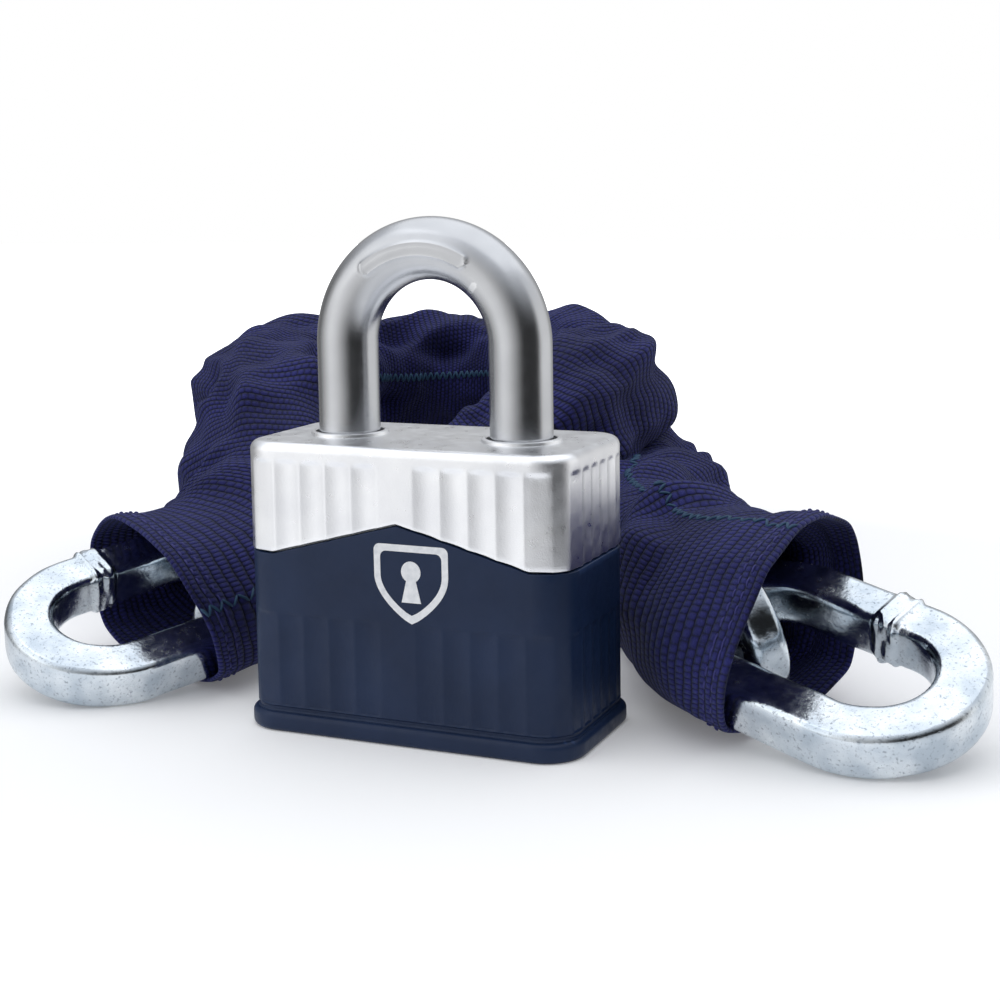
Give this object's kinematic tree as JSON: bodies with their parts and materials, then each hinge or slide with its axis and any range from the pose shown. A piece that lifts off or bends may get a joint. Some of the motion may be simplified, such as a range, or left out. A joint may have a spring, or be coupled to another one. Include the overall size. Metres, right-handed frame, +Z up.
{
  "type": "chain lock",
  "caption": "Padlock with a fluted two-part body and tall round shackle, and a fabric-sleeved square-link chain coiled behind it with larger end links.",
  "frame": {"origin": "on the floor under the middle of the whole lock's footprint; the padlock's base is centred at x 0.0213, y -0.0988", "axes": "+Z up; +X along the padlock's width, to the right seen from its front; -Y is the way the padlock's front face looks"},
  "size_m": [0.2484, 0.2456, 0.0981],
  "materials": {
    "cast_silver": "bead-blasted satin die-casting",
    "boot_navy": "moulded, semi-matte, dark navy",
    "satin_steel": "satin plated hardened steel",
    "hard_steel": "plain hardened steel",
    "brass": "machined brass",
    "spring_steel": "drawn spring wire",
    "zinc_plate": "bright zinc plate with a faint blue tint",
    "webbing_navy": "coarse woven nylon sleeve, navy blue"
  },
  "bodies": {
    "chain_coil": {"chain_link_03": "zinc_plate", "chain_link_04": "zinc_plate", "chain_link_05": "zinc_plate", "chain_link_06": "zinc_plate", "chain_link_07": "zinc_plate", "chain_link_08": "zinc_plate", "chain_link_09": "zinc_plate", "chain_link_10": "zinc_plate", "chain_link_11": "zinc_plate", "chain_link_12": "zinc_plate", "chain_link_13": "zinc_plate", "chain_link_14": "zinc_plate", "chain_link_15": "zinc_plate", "chain_link_16": "zinc_plate", "chain_link_17": "zinc_plate", "chain_link_18": "zinc_plate", "chain_link_19": "zinc_plate", "chain_link_20": "zinc_plate", "chain_link_21": "zinc_plate", "chain_link_22": "zinc_plate", "chain_link_23": "zinc_plate", "chain_link_24": "zinc_plate", "sleeve_coil": "webbing_navy"},
    "right_tail": {"chain_link_01": "zinc_plate", "chain_link_02": "zinc_plate", "sleeve_right_tail": "webbing_navy"},
    "left_tail": {"chain_link_25": "zinc_plate", "sleeve_left_tail": "webbing_navy"},
    "right_end_link": {"end_link_right": "zinc_plate"},
    "left_end_link": {"end_link_left": "zinc_plate"},
    "padlock": {"lock_core": "hard_steel", "upper_shell": "cast_silver", "lower_boot": "boot_navy", "cylinder_housing": "brass", "chamber_cover": "hard_steel", "heel_retaining_pin": "hard_steel", "cylinder_retaining_pin": "hard_steel", "shackle_spring": "spring_steel", "pin_spring_1": "spring_steel", "pin_spring_2": "spring_steel", "pin_spring_3": "spring_steel", "pin_spring_4": "spring_steel", "pin_spring_5": "spring_steel"},
    "shackle": {"shackle": "satin_steel"},
    "plug": {"cylinder_plug": "brass", "ball_cam": "hard_steel", "plug_clip": "hard_steel"},
    "ball_left": {"locking_ball_left": "hard_steel"},
    "ball_right": {"locking_ball_right": "hard_steel"},
    "key_pin_1": {"key_pin_1": "brass"},
    "driver_pin_1": {"driver_pin_1": "hard_steel"},
    "key_pin_2": {"key_pin_2": "brass"},
    "driver_pin_2": {"driver_pin_2": "hard_steel"},
    "key_pin_3": {"key_pin_3": "brass"},
    "driver_pin_3": {"driver_pin_3": "hard_steel"},
    "key_pin_4": {"key_pin_4": "brass"},
    "driver_pin_4": {"driver_pin_4": "hard_steel"},
    "key_pin_5": {"key_pin_5": "brass"},
    "driver_pin_5": {"driver_pin_5": "hard_steel"}
  },
  "joints": [
    {"name": "padlock_lift", "type": "slide", "parent": "chain_coil", "child": "padlock", "axis": [0, 0, 1], "range_m": [0, 0.12]},
    {"name": "shackle_lift", "type": "slide", "parent": "padlock", "child": "shackle", "axis": [0, 0, 1], "range_m": [0, 0.02], "deforming": ["shackle_spring"]},
    {"name": "plug_turn", "type": "hinge", "parent": "padlock", "child": "plug", "pos_m": [0.0213, -0.0988, 0], "axis": [0, 0, 1], "range_deg": [-90, 0]},
    {"name": "ball_left_slide", "type": "slide", "parent": "padlock", "child": "ball_left", "axis": [-1, 0, 0], "range_m": [0, 0.00281]},
    {"name": "ball_right_slide", "type": "slide", "parent": "padlock", "child": "ball_right", "axis": [1, 0, 0], "range_m": [0, 0.00281]},
    {"name": "key_pin_1_slide", "type": "slide", "parent": "plug", "child": "key_pin_1", "axis": [0, -1, 0], "range_m": [0, 0.0023]},
    {"name": "driver_pin_1_slide", "type": "slide", "parent": "padlock", "child": "driver_pin_1", "axis": [0, -1, 0], "range_m": [0, 0.0023]},
    {"name": "key_pin_2_slide", "type": "slide", "parent": "plug", "child": "key_pin_2", "axis": [0, -1, 0], "range_m": [0, 0.0015]},
    {"name": "driver_pin_2_slide", "type": "slide", "parent": "padlock", "child": "driver_pin_2", "axis": [0, -1, 0], "range_m": [0, 0.0015]},
    {"name": "key_pin_3_slide", "type": "slide", "parent": "plug", "child": "key_pin_3", "axis": [0, -1, 0], "range_m": [0, 0.0019]},
    {"name": "driver_pin_3_slide", "type": "slide", "parent": "padlock", "child": "driver_pin_3", "axis": [0, -1, 0], "range_m": [0, 0.0019]},
    {"name": "key_pin_4_slide", "type": "slide", "parent": "plug", "child": "key_pin_4", "axis": [0, -1, 0], "range_m": [0, 0.0011]},
    {"name": "driver_pin_4_slide", "type": "slide", "parent": "padlock", "child": "driver_pin_4", "axis": [0, -1, 0], "range_m": [0, 0.0011]},
    {"name": "key_pin_5_slide", "type": "slide", "parent": "plug", "child": "key_pin_5", "axis": [0, -1, 0], "range_m": [0, 0.0025]},
    {"name": "driver_pin_5_slide", "type": "slide", "parent": "padlock", "child": "driver_pin_5", "axis": [0, -1, 0], "range_m": [0, 0.0025]},
    {"name": "right_tail_swing", "type": "hinge", "parent": "chain_coil", "child": "right_tail", "pos_m": [0.04406, -0.0248, 0.01653], "axis": [0, 0, 1], "range_deg": [0, 12]},
    {"name": "left_tail_swing", "type": "hinge", "parent": "chain_coil", "child": "left_tail", "pos_m": [-0.0535, -0.0427, 0.0281], "axis": [0, 0, 1], "range_deg": [-12, 0]},
    {"name": "right_end_link_lift", "type": "hinge", "parent": "right_tail", "child": "right_end_link", "pos_m": [0.0673, -0.0727, 0.0192], "axis": [-0.3934, -0.8542, -0.3398], "range_deg": [0, 8]},
    {"name": "left_end_link_lift", "type": "hinge", "parent": "left_tail", "child": "left_end_link", "pos_m": [-0.0364, -0.068, 0.0184], "axis": [-0.8419, 0.3895, 0.3734], "range_deg": [0, 6]}
  ],
  "couplings": [
    {"joint": "ball_left_slide", "follows": "plug_turn", "m_per_rad": -0.0017825},
    {"joint": "ball_right_slide", "follows": "plug_turn", "m_per_rad": -0.0017825},
    {"joint": "driver_pin_1_slide", "follows": "key_pin_1_slide", "ratio": 1},
    {"joint": "driver_pin_2_slide", "follows": "key_pin_2_slide", "ratio": 1},
    {"joint": "driver_pin_3_slide", "follows": "key_pin_3_slide", "ratio": 1},
    {"joint": "driver_pin_4_slide", "follows": "key_pin_4_slide", "ratio": 1},
    {"joint": "driver_pin_5_slide", "follows": "key_pin_5_slide", "ratio": 1}
  ]
}
